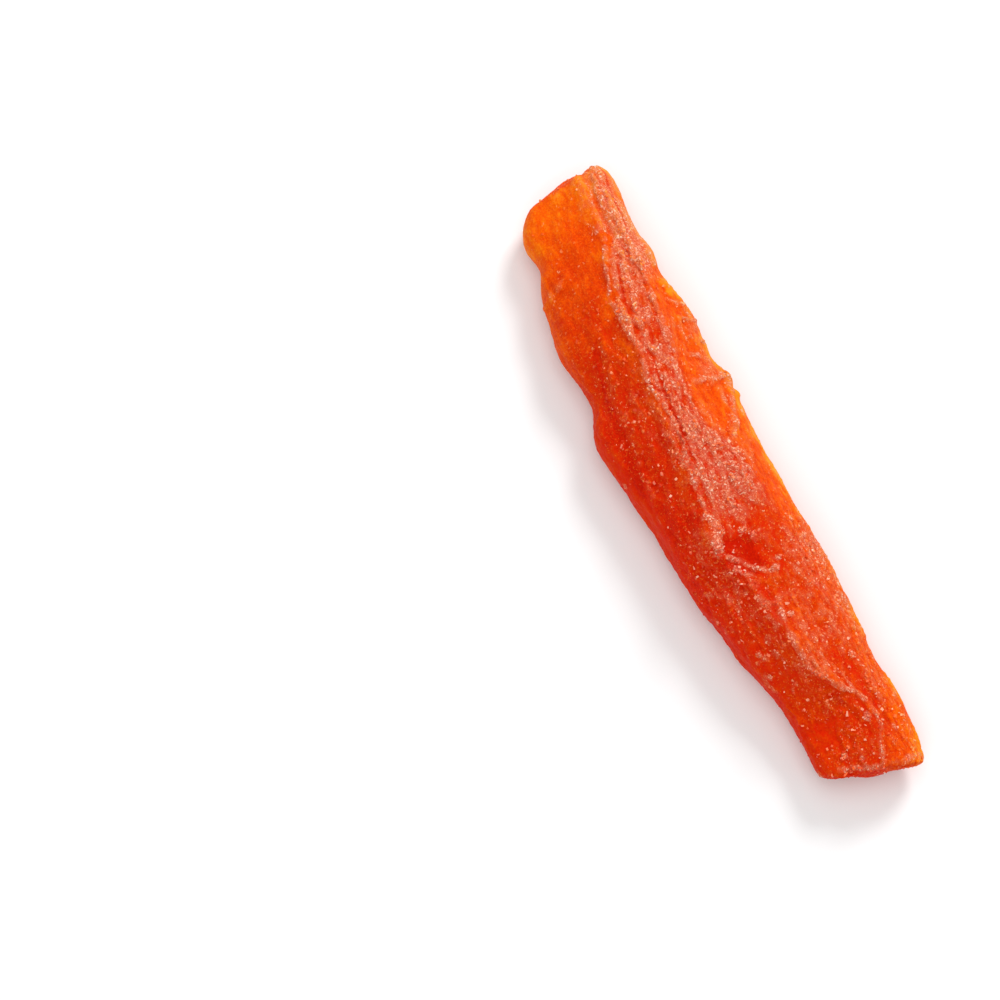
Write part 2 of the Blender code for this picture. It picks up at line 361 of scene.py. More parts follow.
# %% Lines that stand out
# name: (places, half width, height, crust), in millimetres but for the crust
SEAMS = {
    "crest_at_tip": (CREST[:3], 0.30, 0.14, 0.45),
    "crest_upper": (CREST[2:6], 0.38, 0.24, 0.70),
    "crest_middle": (CREST[5:9], 0.45, 0.30, 0.80),
    "crest_lower": (CREST[8:], 0.45, 0.32, 0.90),
    "crest_crust": (
        [(7.0, -2.9, 12.3), (9.5, -2.4, 12.0), (11.2, -3.6, 12.4), (12.4, -3.6, 12.1)], 0.80, 0.45, 1.00
    ),
    "shoulder_tip": (SHOULDER[:4], 0.40, 0.22, 0.80),
    "shoulder": (SHOULDER[3:], 0.30, 0.15, 0.45),
    "strip_fold": (
        [(-34.1, 3.7, 10.8), (-27.9, 2.5, 11.3), (-17.9, 1.0, 12.1), (-6.2, 0.0, 12.6), (4.8, -1.1, 11.8)],
        0.35, 0.20, 0.50,
    ),
    "torn_skin": ([(-34.2, -8.8, 5.2), (-35.0, -7.4, 7.2), (-36.0, -4.6, 9.0)], 0.70, 0.45, 0.16),
    "inner_edge": (
        [(-23.8, -4.3, 10.1), (-17.0, -6.1, 8.8), (-10.5, -6.9, 9.3), (0.5, -8.1, 8.8)], 0.90, 0.45, 0.12
    ),
    "outer_wrinkle_a": ([(-26.4, 7.6, 8.6), (-25.0, 9.5, 6.8)], 0.40, 0.40, 0.85),
    "outer_wrinkle_b": ([(-23.1, 8.0, 8.6), (-22.4, 10.4, 6.0)], 0.40, 0.42, 0.90),
    "outer_wrinkle_c": ([(-19.9, 8.2, 8.2), (-18.6, 10.4, 6.2)], 0.38, 0.40, 0.90),
    "outer_wrinkle_d": ([(-17.4, 7.0, 8.5), (-16.0, 9.2, 7.4), (-15.4, 11.2, 5.4)], 0.40, 0.44, 0.95),
    "outer_wrinkle_e": ([(-13.0, 5.1, 10.1), (-12.7, 8.4, 7.7), (-13.1, 10.5, 5.7)], 0.48, 0.44, 0.95),
    "curl": ([(-13.0, 10.7, 5.3), (-9.7, 10.0, 6.3), (-7.2, 8.9, 7.9), (-4.7, 7.9, 8.7)], 0.45, 0.60, 1.00),
    "curl_inner": (
        [(-10.8, 8.3, 7.9), (-8.4, 8.1, 8.2), (-6.8, 8.1, 8.4), (-4.0, 7.4, 9.1)], 0.35, 0.35, 0.60
    ),
    "curl_end": ([(-4.7, 7.9, 8.7), (-2.9, 6.6, 9.7), (-2.1, 4.2, 11.2), (-1.7, 2.3, 11.7)], 0.50, 0.2, 0.50),
    "hollow_lip": (
        [(13.4, -2.8, 11.5), (14.5, -1.3, 10.8), (16.3, 0.0, 10.9), (17.6, 1.6, 11.2), (17.7, 2.8, 11.2)],
        0.50, 0.50, 0.80,
    ),
    "fold_below": (
        [(14.6, -3.6, 11.6), (17.1, -3.5, 10.5), (18.0, -2.4, 11.2), (19.0, -1.5, 11.6)], 0.35, 0.30, 0.35
    ),
    "low_crest": (
        [(22.6, 0.6, 11.1), (26.8, 0.0, 11.7), (31.5, 0.2, 11.1), (33.6, 0.6, 10.7), (37.3, 3.2, 10.1)],
        0.50, 0.34, 0.50,
    ),
    "low_crest_beside": ([(33.2, 3.5, 10.1), (35.9, 4.5, 9.2), (38.8, 5.0, 9.1)], 0.32, 0.25, 0.45),
    "low_crest_end": (
        [(37.3, 3.2, 10.1), (38.8, 5.0, 9.1), (41.4, 6.1, 8.8), (44.3, 6.2, 8.5), (49.7, 3.9, 8.4)],
        0.38, 0.32, 0.50,
    ),
    "right_lobe_line": ([(45.3, 8.0, 7.1), (47.3, 8.6, 6.7), (49.3, 9.2, 6.2)], 0.30, 0.20, 0.50),
    "right_dust": ([(35.8, 8.4, 7.8), (38.6, 8.0, 7.8), (42.0, 8.2, 7.4)], 0.60, 0.20, 0.35),
    "foot_rim": (
        [(46.8, -4.6, 4.4), (47.9, -1.0, 7.0), (49.5, 2.6, 8.0), (50.6, 8.7, 6.7), (50.5, 10.2, 4.4)],
        0.50, 0.15, 0.60,
    ),
}

# %% Cracks cut into what stands out
# name: (places, half width, depth), in millimetres
GROOVES = {
    "tip_groove": ([(-50.0, 8.4, 6.4), (-45.8, 7.7, 8.0), (-42.2, 7.5, 8.3), (-37.1, 7.2, 9.0)], 0.35, 0.30),
    "beside_crest": (
        [(-34.0, 2.8, 11.0), (-27.0, 0.8, 11.6), (-19.5, 0.9, 12.2), (-12.5, -0.1, 12.4), (-3.0, -0.6, 12.6)],
        0.28, 0.30,
    ),
    "crest_crack": ([(-15.8, -3.0, 11.4), (-14.8, -1.4, 12.4), (-12.8, -0.1, 12.3)], 0.28, 0.35),
    "beside_lip": (
        [(10.8, -1.9, 11.6), (12.4, -2.5, 11.6), (14.2, -0.2, 11.0), (16.4, 1.6, 10.9)], 0.60, 0.80
    ),
    "below_lip": ([(14.2, -3.2, 11.6), (15.8, -1.2, 11.2), (18.4, 1.0, 11.2)], 0.30, 0.35),
    "inner_fold": (
        [(-24.5, -5.5, 9.2), (-18.0, -7.3, 7.9), (-11.5, -8.2, 8.3), (-1.0, -9.3, 7.9)], 0.50, 0.35
    ),
    "beside_low_crest": (
        [(32.7, 4.8, 9.4), (35.9, 6.6, 8.6), (39.2, 6.6, 8.8), (41.5, 7.4, 8.2)], 0.70, 0.35
    ),
}

# %% Lumps of sugar and shreds of pulp
# lumps where crystals cling together, each (place, radius), in millimetres
LUMPS = [
    ((-40.1, 2.6, 10.1), 0.45),
    ((-33.2, 5.9, 10.5), 0.75),
    ((-32.3, 6.4, 10.4), 0.5),
    ((-25.3, 0.4, 11.7), 0.5),
    ((-3.9, -10.6, 6.0), 0.4),
    ((-0.4, 5.7, 10.5), 0.8),
    ((0.9, 4.8, 10.9), 0.5),
    ((4.2, -2.8, 12.4), 0.5),
    ((9.3, -2.2, 11.9), 0.9),
    ((11.3, -3.7, 12.4), 0.8),
    ((12.3, -3.4, 12.0), 0.6),
    ((7.1, 1.9, 11.2), 0.6),
    ((10.6, 0.9, 11.1), 0.8),
    ((11.7, 2.0, 11.1), 0.7),
    ((11.6, 8.6, 8.6), 0.6),
    ((12.8, 9.5, 7.7), 0.6),
    ((15.6, -2.3, 11.5), 0.7),
    ((16.9, -1.2, 11.3), 0.7),
    ((17.7, 3.0, 11.1), 0.6),
    ((16.4, 3.9, 10.8), 0.45),
    ((15.8, 9.3, 7.8), 0.6),
    ((18.6, 9.2, 7.5), 0.5),
    ((21.1, -1.6, 11.6), 0.45),
    ((23.8, -1.6, 11.2), 0.5),
    ((27.7, -4.9, 8.4), 0.5),
    ((24.8, 1.6, 11.1), 0.5),
    ((28.2, 4.4, 10.3), 0.45),
    ((31.4, -4.9, 7.5), 0.45),
    ((33.5, 7.2, 8.7), 0.6),
    ((42.5, 4.9, 8.9), 0.7),
    ((45.4, 0.6, 7.5), 0.5),
    ((46.2, -0.3, 7.2), 0.5),
    ((47.6, 1.5, 7.8), 0.5),
]
LUMP_HEIGHT = 0.16  # of its radius

# yellow pulp left on the outer edge, each (place, radius)
PULP = [
    ((-34.6, 8.4, 7.4), 0.75),
    ((-33.2, 8.6, 7.0), 0.65),
    ((-29.3, 8.3, 7.8), 0.70),
    ((-28.0, 8.6, 7.5), 0.75),
    ((-12.0, 11.3, 4.9), 0.9),
    ((-9.6, 10.9, 5.0), 0.8),
]
PULP_HEIGHT = 0.8  # of its radius

# %% Patches of sugar bloom
# (along, across, radius, amount); a negative amount is a clear, glossy place
BLOOM_PATCHES = [
    (-47, 7.6, 4.0, 0.30),
    (-42, 7.6, 3.0, 0.30),
    (-38, 7.4, 4.5, 0.45),
    (-37.5, 2.6, 1.8, -0.25),
    (-34, 5.4, 2.6, 0.45),
    (-33, 2.8, 2.0, 0.16),
    (-23, 1.5, 3.0, 0.10),
    (-13, 0.2, 2.5, 0.12),
    (-3, -0.3, 2.5, 0.12),
    (7, -0.5, 2.5, 0.12),
    (-22, 9.5, 3.0, 0.20),
    (-14, 9.0, 3.0, 0.19),
    (-12, -4.5, 5.0, 0.06),
    (-4, 1.5, 5.0, 0.22),
    (-18, 2.0, 4.0, 0.10),
    (-4, -6.0, 4.0, -0.03),
    (1, 4.0, 4.0, 0.16),
    (6, 2.5, 4.5, 0.14),
    (11, 1.5, 2.5, 0.16),
    (10, -5.5, 3.0, 0.05),
    (14.0, -0.6, 2.0, -0.45),
    (15, 8.0, 3.5, 0.14),
    (16, 10.2, 1.8, 0.26),
    (26, 10.2, 1.6, 0.24),
    (17, -4.5, 2.5, 0.14),
    (21, 9.0, 3.5, 0.12),
    (22, 2.0, 4.0, 0.06),
    (28, 6.0, 5.0, 0.10),
    (33, 3.0, 3.5, 0.12),
    (38, 7.8, 3.0, 0.12),
    (42, -1.0, 4.5, -0.08),
]

# %% Where the crest and the shoulder run, seen from above
CREST_ALONG = [-51, -45, -40, -35, -29, -20, -10, 0, 11, 16, 22, 28, 34, 37, 41, 44, 50]
CREST_ACROSS = [6.5, 5.4, 5.2, 2.6, -0.3, -0.3, -0.9, -2.2, -3.3, -1.0, 0.6, 0.0, 1.0, 3.0, 5.5, 6.2, 4.0]
SHOULDER_ALONG = [-50, -46, -41, -36, -30, -22, -13, -6, 0, 11, 20, 35, 50]
SHOULDER_ACROSS = [8.4, 8.0, 8.0, 7.4, 6.2, 4.8, 3.2, 3.0, 6.0, 7.0, 8.0, 8.0, 8.0]

# %% Tones along the spear
# how far the colour goes from deep red (0) to orange (1), from the tip to the foot, with
# painted light in it: lighter at the tip and on the outer slope, darker on the left face
TONE_ALONG = [-51, -46, -36, -25, -5, 5, 15, 25, 36, 50]
LEFT_TONE_AND_LIGHT = [0.76, 0.72, 0.60, 0.47, 0.27, 0.22, 0.24, 0.34, 0.40, 0.33]
TOP_TONE_AND_LIGHT = [0.80, 0.80, 0.70, 0.58, 0.42, 0.40, 0.40, 0.52, 0.55, 0.48]
OUTER_TONE_AND_LIGHT = [0.76, 0.74, 0.72, 0.72, 0.71, 0.67, 0.66, 0.66, 0.68, 0.70]

# (along, across, radius, amount): painted shade, darker in hollows and where the fruit is thick
SHADED_PLACES = [
    (13.8, -0.8, 2.4, 0.60),
    (11.5, -2.2, 0.9, 0.40),
    (8, -6.0, 5.0, 0.06),
    (-30, -3.0, 3.0, 0.08),
    (-20, -9.0, 3.0, 0.12),
    (-12, -10.0, 3.0, 0.12),
    (-4, -11.0, 3.0, 0.12),
]


# %% Distances, hills and patches
def distance_to_line(points, line):
    """Each point's distance to a line through places, in the units of both."""
    nearest = np.full(len(points), np.inf)
    for start, end in zip(line, line[1:]):
        start, along = np.array(start), np.array(end) - np.array(start)
        share = np.clip((points - start) @ along / (along @ along), 0, 1)
        gap = np.linalg.norm(points - start - share[:, None] * along, axis=1)
        nearest = np.minimum(nearest, gap)
    return nearest


def hill(gap, width):
    """1 where there is no gap, about a third where it is this wide, and soon 0."""
    return np.exp(-((gap / width) ** 2))


def spot(points, along, across, radius):
    """A round hill, seen from above."""
    return np.exp(-((points[:, 0] - along) ** 2 + (points[:, 1] - across) ** 2) / radius**2)


def patchiness(points, size, seed):
    """Soft noise over the skin, from 0 to 1, with patches of about this size in millimetres."""
    shift = Vector((seed, seed * 2.3, seed * 5.1))
    return np.array([0.5 + 0.5 * noise.noise(Vector(p) / size + shift) for p in points])


def flank(points, side, step=1.0):
    """How far each point lies, across the piece, from its outermost point on a side (-1 or 1)."""
    stations = np.arange(points[:, 0].min(), points[:, 0].max() + step, step)
    bins = np.clip(((points[:, 0] - stations[0]) / step).astype(int), 0, len(stations) - 1)
    bands = [side * points[bins == i, 1] for i in range(len(stations))]
    outermost = np.array([band.max(initial=-np.inf) for band in bands])
    known = np.isfinite(outermost)
    smooth = np.interp(points[:, 0], stations[known] + step / 2, outermost[known])
    return np.clip(smooth - side * points[:, 1], 0, None)


# %% [markdown]
# What a point gets depends on its zone: the left cut face, the strip along the crest where
# dust lies, the outer slope, the flanks and the ends. A zone is 1 inside, 0 outside and has
# a soft border, so zones can be multiplied and added as masks are in painting.

# %% Zones of the skin
# x runs from the tip to the foot; a rise starts at its first number and is full at its second
points = positions(flesh)
x, y, z = points.T
facing = directions(flesh)
steep = rise(1 - facing[:, 2], 0.55, 1.0)  # faces sideways or down
end_face = rise(np.abs(facing[:, 0]), 0.5, 0.9)  # faces along the spear
away_from_tip = 0.4 + 0.6 * rise(x, -42, -26)
lower_half = rise(x, 6, 18)
clear_of_table = rise(z, 0.6, 3.0)
upper_side = rise(z, 4.0, 7.0)
crest_y = np.interp(x, CREST_ALONG, CREST_ACROSS)
shoulder_y = np.interp(x, SHOULDER_ALONG, SHOULDER_ACROSS)
left_face = rise(crest_y - y, -0.5, 0.6)
outer_slope = rise(y - shoulder_y, -0.6, 1.4)
strip = (1 - left_face) * rise(shoulder_y - y, -0.4, 0.6) * upper_side * rise(-x, -10, -2)
left_gap = flank(points, -1)
right_gap = flank(points, 1)
zones = {"left face": left_face, "strip": strip, "outer slope": outer_slope, "lower half": lower_half}
for name, zone in zones.items():
    print("%s: %.0f%% of the points" % (name, 100 * zone.mean()))

# %% Patches left to chance
ALONG_FIBRES = (0.35, 1, 1)  # squeezes places, so that patches get longer along the fibres
mottle = patchiness(points, 3.0, 1.7)
small_mottle = patchiness(points, 1.1, 8.2)
fold = rise(patchiness(points * ALONG_FIBRES, 1.0, 6.1), 0.36, 0.62)
clusters = rise(patchiness(points, 1.6, 4.4), 0.58, 0.70) * upper_side
broken = 0.30 + 0.70 * rise(small_mottle, 0.35, 0.6)
lower_side = rise(2.5 + 4 * mottle - z, 0.0, 2.5)  # near the table, up to a wandering line

# %% [markdown]
# Height and crust come first. Folds, lines, lumps and shreds of pulp add to the height, and
# cracks take away from it, down to the plain skin and no deeper. The crust is broken up by
# chance, and there is little in cracks.

# %% Height, crust and lumps
STRIP_FOLDS = 0.22  # mm
seam = np.zeros(len(points))
lump = np.zeros(len(points))
pulp = np.zeros(len(points))
sunk = np.zeros(len(points))
height = STRIP_FOLDS * strip * fold
for line, half_width, tallness, crust in SEAMS.values():
    near = hill(distance_to_line(points, line), half_width)
    seam = np.maximum(seam, near * crust * broken)
    height += near * tallness * (0.4 + 0.6 * broken)
for place, radius in LUMPS:
    gap = np.linalg.norm(points - np.array(place), axis=1)
    here = rise(radius * 1.5 * small_mottle - gap, -0.3 * radius, 0.4 * radius)
    lump = np.maximum(lump, here)
    height += here * radius * LUMP_HEIGHT
seam = np.maximum(seam, 0.75 * lump)
for place, radius in PULP:
    here = hill(np.linalg.norm(points - np.array(place), axis=1), radius)
    pulp = np.maximum(pulp, here)
    height += here * radius * PULP_HEIGHT
clustered = np.maximum(0.6 * strip, 0.2 * lower_half * (1 - 0.6 * rise(x, 34, 42)))
seam = np.maximum(seam, clusters * clustered)
for line, half_width, deepness in GROOVES.values():
    near = hill(distance_to_line(points, line), half_width)
    sunk = np.maximum(sunk, near)
    height -= near * deepness
seam = seam * (1 - 0.8 * sunk)
print("height, mm: least %.2f, most %.2f" % (height.min(), height.max()))

# %% [markdown]
# Fine sugar lies thickly in the strip and thinly elsewhere, and the left edge and the
# cracks are nearly bare. Single crystals stay away from the outline, as they would make it
# look rough.

# %% Bloom and grit
DUSTY_EDGE = 1.4  # mm, how wide the dust lies on the outer edge
dusted_face = left_face * rise(left_gap, 0.5, 4.0) * rise(x, -38, -8)
bloom = 0.02 + 0.34 * strip * (0.45 + fold) + 0.02 * dusted_face + 0.03 * lower_half * upper_side
bloom += 0.03 * outer_slope * rise(-x, 5, 15) + 0.06 * lower_side
for along, across, radius, amount in BLOOM_PATCHES:
    bloom += amount * spot(points, along, across, radius) * upper_side
bloom += 0.24 * hill(right_gap, DUSTY_EDGE) * rise(x, 6, 14) * upper_side
bare_edge = rise(3.0 - left_gap, 0.0, 2.5) * rise(x, -20, -12)
bloom = np.clip(bloom * (0.6 + 0.8 * mottle), 0.0, 1) * (1 - 0.8 * sunk) * (1 - 0.9 * bare_edge)
grit = 0.05 + 0.35 * dusted_face + 0.5 * strip * away_from_tip + 0.3 * lower_half + 0.2 * outer_slope
off_the_edge = np.maximum(rise(np.minimum(left_gap, right_gap), 0.2, 1.5), rise(3.0 - z, 0.0, 1.0))
grit = grit * rise(mottle, 0.15, 0.55) * off_the_edge

# %% [markdown]
# The glow starts from the tones along the spear, which carry painted light. Painted light
# raises it at the rims, in a band beside the crest, on steep sides, on the strip's folds and
# where the fruit is thin, and pulp raises it with its own yellow. Painted shade lowers it
# near the table, on the end faces, in cracks and at the shaded places.

# %% Glow
RIM_WIDTH = 1.2  # mm, the rims that get painted light
BAND_WIDTH = 1.2  # mm, a band of painted light beside the crest
BAND_OFFSET = 1.3  # mm, how far from the crest it runs
through = read(flesh, "through")
thin = rise(through, 0.02, 0.16)
# the tones carry painted light: the tip and the outer slope lighter, the left face darker
tone_and_light = (
    np.interp(x, TONE_ALONG, LEFT_TONE_AND_LIGHT) * left_face
    + np.interp(x, TONE_ALONG, TOP_TONE_AND_LIGHT) * (1 - left_face) * (1 - outer_slope)
    + np.interp(x, TONE_ALONG, OUTER_TONE_AND_LIGHT) * outer_slope
)
# painted light: thin rims that light comes through
right_rim_light = hill(right_gap, RIM_WIDTH) * (1 - 0.4 * lower_half) * (1 - lower_side)
right_rim_light = right_rim_light * (0.3 + 1.2 * rise(mottle, 0.3, 0.7)) * (1 - 0.8 * end_face) * (1 - 0.5 * steep)
left_rim_light = hill(left_gap, RIM_WIDTH) * (1 - 2.5 * lower_half)
# painted light: a lit band beside the crest
crest_band_light = hill(y - crest_y + BAND_OFFSET, BAND_WIDTH) * upper_side * rise(mottle, 0.3, 0.55)
crest_band_light = crest_band_light * (1 - lower_half) * away_from_tip
# painted shade near the table; painted light at the rims and in the band beside the crest
glow = tone_and_light - 0.08 * lower_side + 0.26 * right_rim_light + 0.08 * left_rim_light + 0.22 * crest_band_light
# painted light where the fruit is thin, on steep sides and on the strip's folds, painted shade between the
# folds and on the end faces; pulp adds its own yellow
glow += 0.10 * thin + 0.02 * steep + 0.50 * pulp + 0.12 * strip * (fold - 0.5) - 0.14 * end_face
# painted shade at the shaded places
for along, across, radius, amount in SHADED_PLACES:
    glow -= amount * spot(points, along, across, radius)
# tone that differs at random, and painted shade in cracks
glow = np.clip(glow + (0.25 - 0.12 * outer_slope) * (mottle - 0.5) - 0.30 * sunk, 0, 1)

# %% Keep the five numbers
fields = {"seam": seam, "bloom": bloom, "grit": grit, "lump": lump, "glow": glow}
for name, values in fields.items():
    store(flesh, name, values)
    print("%s: mean %.2f, most %.2f" % (name, values.mean(), values.max()))


# %% [markdown]
# ## Wrinkles, pores and crust
#
# Drying folds the surface along the fibres, and sugar leaves a crust. Each is a Displace
# modifier that pushes the skin along its normals by a texture, and a vertex group says
# where and how much. Clouds make folds, creases and pits, a ridged texture makes wrinkles,
# and cells with sunk edges make fissures. Sculpting by hand would look as good, but
# modifiers give the same result every time. An empty that is longer than wide stretches a
# texture along the fibres.

# %% Weights and textures
WEIGHT_STEPS = 50


def weight_group(obj, name, weights):
    """A vertex group with a weight for each point, rounded to a step."""
    group = obj.vertex_groups.new(name=name)
    steps = np.round(np.clip(weights, 0, 1) * WEIGHT_STEPS).astype(int)
    for step in range(1, WEIGHT_STEPS + 1):
        chosen = np.nonzero(steps == step)[0].tolist()
        if chosen:
            group.add(chosen, step / WEIGHT_STEPS, "REPLACE")
    return group.name


def clouds(name, size, depth=2):
    """A cloud texture for displacement. Its size is in the units of the empty that carries it."""
    texture = bpy.data.textures.new(name, "CLOUDS")
    texture.noise_scale = size
    texture.noise_depth = depth
    return texture


def ridges(name, size):
    """A texture of sharp ridges."""
    texture = bpy.data.textures.new(name, "MUSGRAVE")
    texture.musgrave_type = "RIDGED_MULTIFRACTAL"
    texture.noise_scale = size
    return texture


def fissures(name, size):
    """A texture of cells with sunk edges."""
    texture = bpy.data.textures.new(name, "VORONOI")
    texture.noise_scale = size
    texture.weight_1 = -1
    texture.weight_2 = 1
    texture.noise_intensity = 3
    return texture


# %% Guides and the push itself
def fibre_guide(stretch):
    """An empty whose millimetre is this many times longer along the fibres."""
    guide = add_object(bpy.ops.object.empty_add, "guide", location=(3 * MM, 7 * MM, 5 * MM))
    guide.scale = (stretch * MM, MM, MM)
    bpy.context.view_layer.update()
    return guide


def push_skin(obj, texture, guide, tallness, group, middle=0.5):
    """Displace the skin by a texture whose greys, black to white, span this many millimetres."""
    apply_modifier(
        obj,
        "DISPLACE",
        texture=texture,
        texture_coords="OBJECT",
        texture_coords_object=guide,
        direction="NORMAL",
        strength=tallness * MM,
        mid_level=middle,
        vertex_group=group,
    )


# %% Displace the skin layer by layer
TALLEST = 1.2  # mm, the height that a full weight stands for

calm = 1 - 0.6 * steep - 0.3 * rise(x, 38, 46)
along_fibres = fibre_guide(2.4)
even = fibre_guide(1.0)
everywhere = weight_group(flesh, "folded", clear_of_table * (1 - 0.4 * steep) * away_from_tip)
sugared = weight_group(flesh, "sugared", (0.15 + bloom + 0.6 * seam) * clear_of_table * away_from_tip)
raised = weight_group(flesh, "raised", height / TALLEST * clear_of_table)
in_places = 0.25 + 0.75 * rise(mottle, 0.40, 0.60)
wrinkles = (0.2 + 0.6 * strip + 0.4 * lower_half) * in_places * calm
wrinkled = weight_group(flesh, "wrinkled", wrinkles * clear_of_table)

apply_modifier(flesh, "DISPLACE", strength=TALLEST * MM, mid_level=0.0, vertex_group=raised)
push_skin(flesh, clouds("folds", 2.6), along_fibres, 0.85, everywhere)
push_skin(flesh, clouds("creases", 1.0, 3), even, 0.30, everywhere)
push_skin(flesh, ridges("wrinkles", 1.4), along_fibres, 0.40, wrinkled, middle=0.6)
push_skin(flesh, fissures("fissures", 1.2), along_fibres, 0.35, wrinkled, middle=0.3)
push_skin(flesh, clouds("pits", 0.8, 1), even, 0.55, sugared)
push_skin(flesh, clouds("crust", 0.4, 0), even, 0.40, sugared)
for guide in (along_fibres, even):
    bpy.data.objects.remove(guide)

# %% [markdown]
# Light passes through a ridge and is lost in a groove, so ridges get painted light, more
# orange, and grooves painted shade, deeper red. Sugar rubs off onto what stands out, so
# ridges are also paler, and grooves bare. How far a point stands out is its height over a
# smoothed copy of the skin.

# %% Paint ridges and grooves
SMOOTHINGS = 14
FULL_RIDGE = 0.13  # mm
RIDGE_LIGHT = 0.13  # painted light that a full ridge adds to the glow, and painted shade that a full groove takes off
RIDGE_BLOOM = 0.6  # the share by which it has more bloom
RIDGE_CRUST = 0.3


def standing_out(obj, rounds):
    """How far each point stands over its smoothed surroundings, in millimetres."""
    count = len(obj.data.vertices)
    ends = np.empty(len(obj.data.edges) * 2, dtype=int)
    obj.data.edges.foreach_get("vertices", ends)
    one, other = ends.reshape(-1, 2).T
    neighbours = np.bincount(ends, minlength=count)[:, None]
    start = positions(obj)
    smooth = start.copy()
    for _ in range(rounds):
        total = np.zeros_like(smooth)
        for axis in range(3):
            total[:, axis] += np.bincount(one, weights=smooth[other, axis], minlength=count)
            total[:, axis] += np.bincount(other, weights=smooth[one, axis], minlength=count)
        smooth = (smooth + total / neighbours) / 2
    return ((start - smooth) * directions(obj)).sum(axis=1)


out = np.clip(standing_out(flesh, SMOOTHINGS) / FULL_RIDGE, -1, 1)
print("standing out: spread %.2f of a full ridge" % out.std())
# painted light on ridges, painted shade in grooves
store(flesh, "glow", np.clip(glow + RIDGE_LIGHT * out, 0, 1))
store(flesh, "bloom", np.clip(bloom * (1 + RIDGE_BLOOM * out), 0, 1))
store(flesh, "seam", np.clip(seam * (1 + RIDGE_CRUST * out), 0, 1))

# %% [markdown]
# The folds may have lifted the skin out of the solid's box or pushed it into the table.
# Both are mended by moving the few points that are too far out back to the box.

# %% Keep the skin inside the solid's box
low, high = np.array(cad_box[0]) / MM, np.array(cad_box[1]) / MM
SKIN_MARGIN = 0.05  # mm
points = np.clip(positions(flesh), low + SKIN_MARGIN * np.array([1, 1, 0]), high - SKIN_MARGIN)
flesh.data.vertices.foreach_set("co", (points * MM).ravel())
flesh.data.update()
flesh.vertex_groups.clear()
flesh.data.attributes.remove(flesh.data.attributes["through"])
work_on(flesh)
bpy.ops.object.shade_smooth()
print("skin from", points.min(0).round(1), "to", points.max(0).round(1), "mm")


# %% [markdown]
# ## Shared effects as node groups
#
# The flesh and the clear crystals on it both take the fruit's colour, so it is built once
# as a group: `candied_colour` turns the glow into a colour. `sugar_bloom` is the fine
# sugar. It takes the cells of a Voronoi texture, warps them into odd shapes and makes each
# a grain or not, by chance. The more bloom there is, the more grains there are and the
# paler they look. A noise alone would frost the skin as well, but in soft patches without
# single grains.

# %% Helpers: nodes and sums
def feed(tree, socket, value):
    """Give an input another node's output or a constant."""
    if isinstance(value, bpy.types.NodeSocket):
        tree.links.new(value, socket)
    elif value is not None:
        socket.default_value = value


def add(tree, kind, **settings):
    """A new node with some of its settings and inputs set. Inputs are named with a leading _."""
    node = tree.nodes.new(kind)
    for name, value in settings.items():
        if name.startswith("_"):
            feed(tree, node.inputs[name[1:].replace("_", " ")], value)
        else:
            setattr(node, name, value)
    return node


def calculate(tree, operation, first, second=None, third=None, clamp=False):
    """A Math node; each value is a number or another node's output."""
    node = add(tree, "ShaderNodeMath", operation=operation, use_clamp=clamp)
    for socket, value in zip(node.inputs, (first, second, third)):
        feed(tree, socket, value)
    return node.outputs[0]


def blend_colours(tree, share, first, second):
    """A Mix node for colours; each colour is a tuple or another node's output."""
    node = add(tree, "ShaderNodeMix", data_type="RGBA")
    for socket, value in ((node.inputs[0], share), (node.inputs[6], first), (node.inputs[7], second)):
        feed(tree, socket, value)
    return node.outputs[2]


# %% Helpers: ranges, noise and groups
def remap(tree, value, low, high, to_low=0.0, to_high=1.0):
    """A Map Range node with smooth ends."""
    node = add(tree, "ShaderNodeMapRange", interpolation_type="SMOOTHSTEP", _Value=value)
    for socket, number in zip(node.inputs[1:5], (low, high, to_low, to_high)):
        socket.default_value = number
    return node.outputs[0]


def cloudy(tree, place, size, detail=2.0, roughness=0.5, stretch=1.0):
    """A noise with patches of this size in millimetres, this many times longer along the fibres."""
    along = add(tree, "ShaderNodeMapping", _Vector=place, _Scale=(1 / stretch, 1.0, 1.0))
    node = add(tree, "ShaderNodeTexNoise", _Vector=along.outputs[0], _Scale=1 / (size * MM))
    feed(tree, node.inputs["Detail"], detail)
    feed(tree, node.inputs["Roughness"], roughness)
    return node.outputs[0]


def new_group(name, inputs, outputs):
    """A node group with named sockets, and its two end nodes."""
    tree = bpy.data.node_groups.new(name, "ShaderNodeTree")
    for socket, kind in inputs.items():
        tree.interface.new_socket(socket, in_out="INPUT", socket_type="NodeSocket" + kind)
    for socket, kind in outputs.items():
        tree.interface.new_socket(socket, in_out="OUTPUT", socket_type="NodeSocket" + kind)
    return tree, tree.nodes.new("NodeGroupInput"), tree.nodes.new("NodeGroupOutput")


# %% Grains of the bloom
def warped(tree, place, size, reach):
    """Places shifted by a noise with patches of this size, so that round things get odd shapes."""
    drift = add(tree, "ShaderNodeTexNoise", _Vector=place, _Scale=1 / (size * MM), _Detail=1.0)
    shift = add(tree, "ShaderNodeVectorMath", operation="MULTIPLY_ADD")
    for socket, value in zip(shift.inputs, (drift.outputs["Color"], (reach * MM,) * 3, place)):
        feed(tree, socket, value)
    return shift.outputs[0]


